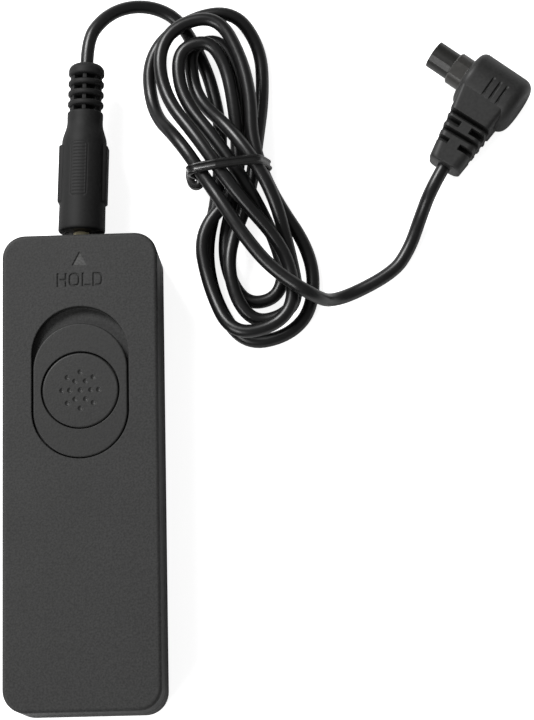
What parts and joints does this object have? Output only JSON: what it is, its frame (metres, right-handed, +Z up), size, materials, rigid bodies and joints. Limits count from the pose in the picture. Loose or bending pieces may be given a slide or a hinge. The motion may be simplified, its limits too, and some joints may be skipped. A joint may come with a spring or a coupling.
{
  "type": "cable shutter release",
  "caption": "Wired remote shutter release: flat handset with a sliding hold plate round a round push button, plug with bundled cord and right-angle camera connector",
  "frame": {"origin": "bottom centre of the handset, which lies on its back", "axes": "+Z up out of the button face, +Y along the handset toward the jack end, +X to the right seen from above with the jack end away"},
  "size_m": [0.1181, 0.1622, 0.018],
  "materials": {
    "case_plastic": "fine moulded texture, dark grey",
    "slider_plastic": "fine moulded texture, dark grey",
    "button_plastic": "fine moulded texture, dark grey",
    "inner_plastic": "plain moulding, black",
    "screw_steel": "zinc plated",
    "spring_steel": "drawn wire",
    "board_laminate": "green lacquer",
    "contact_brass": "thin strip",
    "gold_plate": "thin gold plating, polished",
    "insulator_plastic": "plain, black",
    "mould_plastic": "plain moulding, black",
    "handle_pvc": "soft satin moulding, black",
    "cord_pvc": "satin jacket, black",
    "nose_metal": "dark satin coating",
    "tie_plastic": "satin ribbon, black"
  },
  "bodies": {
    "handset": {"top_cover": "case_plastic", "base_shell": "case_plastic", "case_screws": "screw_steel", "circuit_board": "board_laminate", "board_screws": "screw_steel", "contact_block": "inner_plastic", "leaf_tails": "contact_brass", "shutter_contact": "contact_brass", "jack_socket": "inner_plastic", "jack_contacts": "contact_brass"},
    "slider": {"hold_slider": "slider_plastic", "slider_carriage": "inner_plastic", "return_spring": "spring_steel"},
    "button": {"shutter_button": "button_plastic"},
    "common_leaf": {"common_leaf": "contact_brass"},
    "focus_leaf": {"focus_leaf": "contact_brass"},
    "cable": {"plug_handle": "handle_pvc", "plug_inner_mould": "mould_plastic", "sleeve_contact": "gold_plate", "ring_contact": "gold_plate", "tip_contact": "gold_plate", "plug_insulators": "insulator_plastic", "plug_cord_end": "cord_pvc", "cord_lead_in": "cord_pvc", "cord_hank": "cord_pvc", "cord_tail": "cord_pvc", "tie_band": "tie_plastic", "tie_twist": "tie_plastic", "connector_head": "handle_pvc", "connector_cord_end": "cord_pvc", "connector_inner_mould": "mould_plastic", "nose_shell": "nose_metal", "contact_insert": "mould_plastic", "contact_pins": "gold_plate", "collar_spring": "spring_steel"},
    "collar": {"lock_collar": "nose_metal"}
  },
  "joints": [
    {"name": "hold_slide", "type": "slide", "parent": "handset", "child": "slider", "axis": [0, 1, 0], "range_m": [0, 0.0035]},
    {"name": "button_press", "type": "slide", "parent": "slider", "child": "button", "axis": [0, 0, -1], "range_m": [0, 0.0016], "stiffness_N_per_m": 400, "springref_m": -0.001, "deforming": ["return_spring"]},
    {"name": "common_leaf_bend", "type": "hinge", "parent": "handset", "child": "common_leaf", "pos_m": [0, -0.004, 0.00942], "axis": [-1, 0, 0], "range_deg": [0, 4.5]},
    {"name": "focus_leaf_bend", "type": "hinge", "parent": "handset", "child": "focus_leaf", "pos_m": [0, -0.004, 0.0087], "axis": [-1, 0, 0], "range_deg": [0, 3.58]},
    {"name": "plug_slide", "type": "slide", "parent": "handset", "child": "cable", "axis": [0, 1, 0], "range_m": [0, 0.014]},
    {"name": "collar_slide", "type": "slide", "parent": "cable", "child": "collar", "axis": [0.7955, -0.606, 0], "range_m": [0, 0.0015], "stiffness_N_per_m": 300, "springref_m": -0.001}
  ],
  "couplings": [
    {"joint": "common_leaf_bend", "follows": "button_press", "rad_per_m": 49},
    {"joint": "focus_leaf_bend", "follows": "button_press", "rad_per_m": 39}
  ]
}
